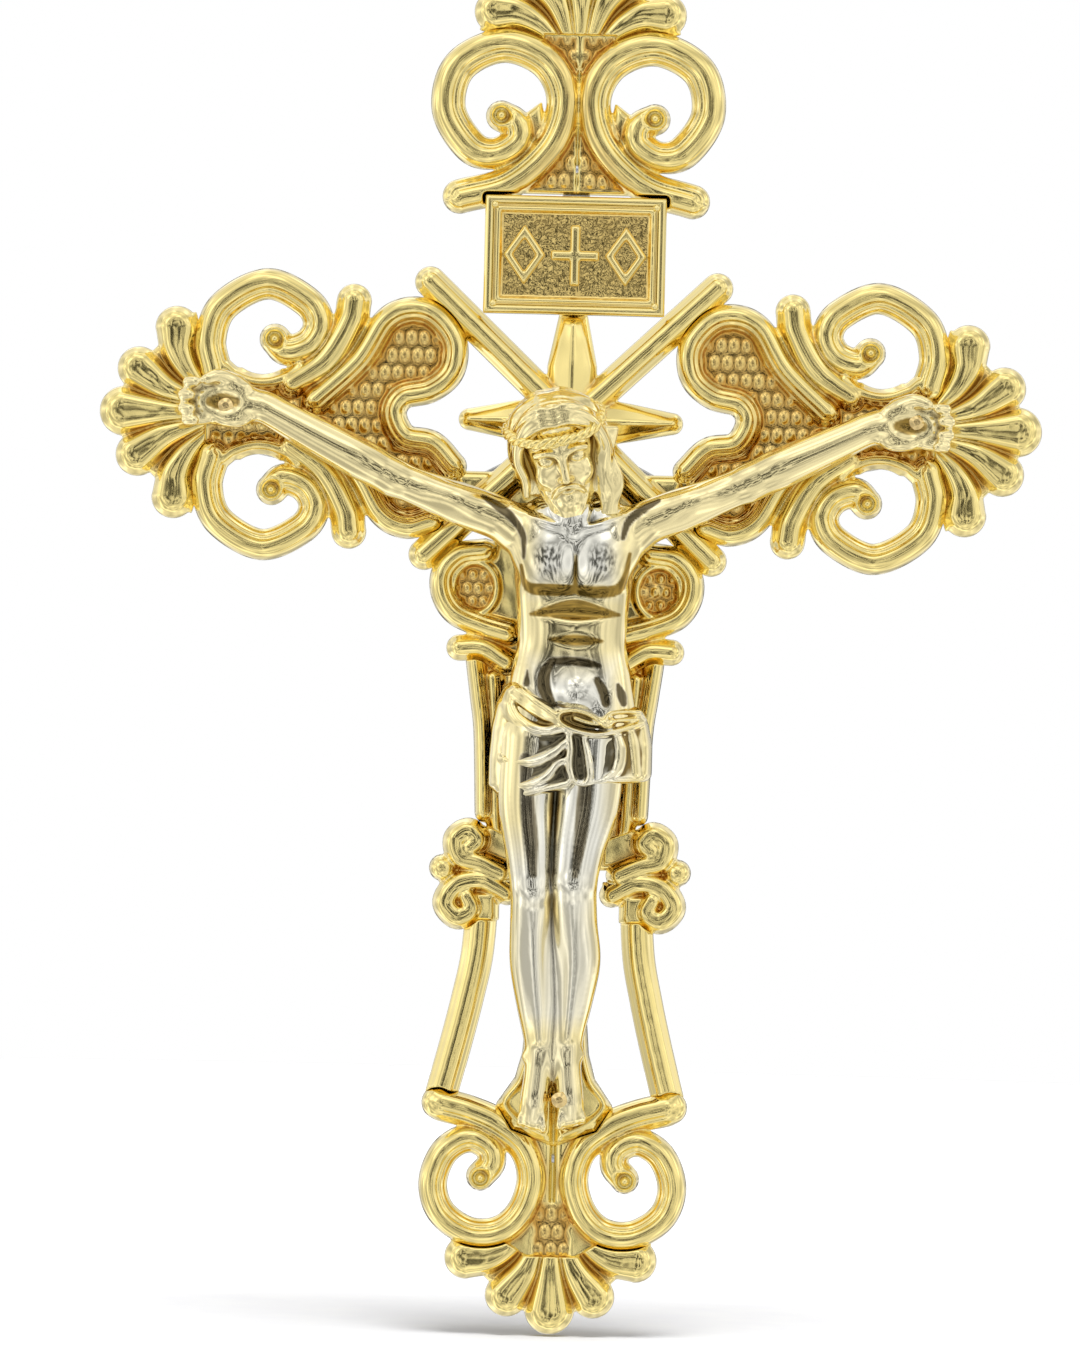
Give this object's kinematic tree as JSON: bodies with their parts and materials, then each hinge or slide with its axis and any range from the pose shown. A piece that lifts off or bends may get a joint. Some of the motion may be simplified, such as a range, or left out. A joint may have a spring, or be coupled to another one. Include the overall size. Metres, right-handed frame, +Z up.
{
  "type": "processional cross",
  "caption": "Processional cross head: openwork scrolled castings with palmette ends, a two-tone figure, a title plate and a rear staff socket with a clamp screw.",
  "frame": {"origin": "middle of the staff socket's mouth, on the socket's axis", "axes": "+Z up along the staff, -Y towards the front that carries the figure, +X to the right as seen from the front"},
  "size_m": [0.307, 0.1008, 0.455],
  "materials": {
    "gold": "cast brass, gold plated and polished, darker in the recesses",
    "pale_gold": "pale gold plate, polished rim and grained recess",
    "gold_figure": "gold plate, hand polished",
    "silver": "bright rhodium plate with gold showing at the edges",
    "two_tone_cloth": "rhodium plate rubbed back to gold on the folds",
    "gold_pins": "gold plated, domed",
    "strap_steel": "brushed strap",
    "screw_steel": "turned steel",
    "socket_brass": "turned and lacquered brass"
  },
  "bodies": {
    "root": {"top_finial": "gold", "top_palmette": "gold", "left_arm": "gold", "right_arm": "gold", "left_palmette": "gold", "right_palmette": "gold", "glory_star": "gold", "title_plate": "pale_gold", "title_ornament": "pale_gold", "title_rivets": "gold_pins", "shoulder_panel": "gold", "shaft_panel": "gold", "left_volutes": "gold", "right_volutes": "gold", "left_side_bar": "gold", "right_side_bar": "gold", "side_bar_dowels": "gold_pins", "foot_finial": "gold", "foot_palmette": "gold", "foot_rest": "gold", "corpus_torso": "silver", "corpus_head": "gold_figure", "crown_of_thorns": "gold_figure", "corpus_left_arm": "silver", "corpus_right_arm": "silver", "corpus_loincloth": "two_tone_cloth", "corpus_legs": "silver", "hand_nails": "gold_pins", "foot_nail": "gold_pins", "nail_nuts": "screw_steel", "spine_strap": "strap_steel", "left_arm_strap": "strap_steel", "right_arm_strap": "strap_steel", "crossing_plate": "strap_steel", "frame_screws": "screw_steel", "socket_bracket": "socket_brass", "bracket_screws": "screw_steel", "socket_tube": "socket_brass", "socket_cap": "socket_brass", "clamp_boss": "socket_brass"},
    "clamp_pad": {"clamp_pad": "socket_brass"},
    "clamp_screw": {"clamp_screw": "screw_steel", "clamp_knob": "socket_brass"}
  },
  "joints": [
    {"name": "clamp_slide", "type": "slide", "parent": "root", "child": "clamp_pad", "axis": [0, -1, 0], "range_m": [-0.00125, 0.005]},
    {"name": "clamp_turn", "type": "hinge", "parent": "clamp_pad", "child": "clamp_screw", "pos_m": [0, 0.02, 0.033], "axis": [0, -1, 0], "range_deg": [-361, 1441]}
  ],
  "couplings": [
    {"joint": "clamp_turn", "follows": "clamp_slide", "rad_per_m": 5026.5}
  ]
}
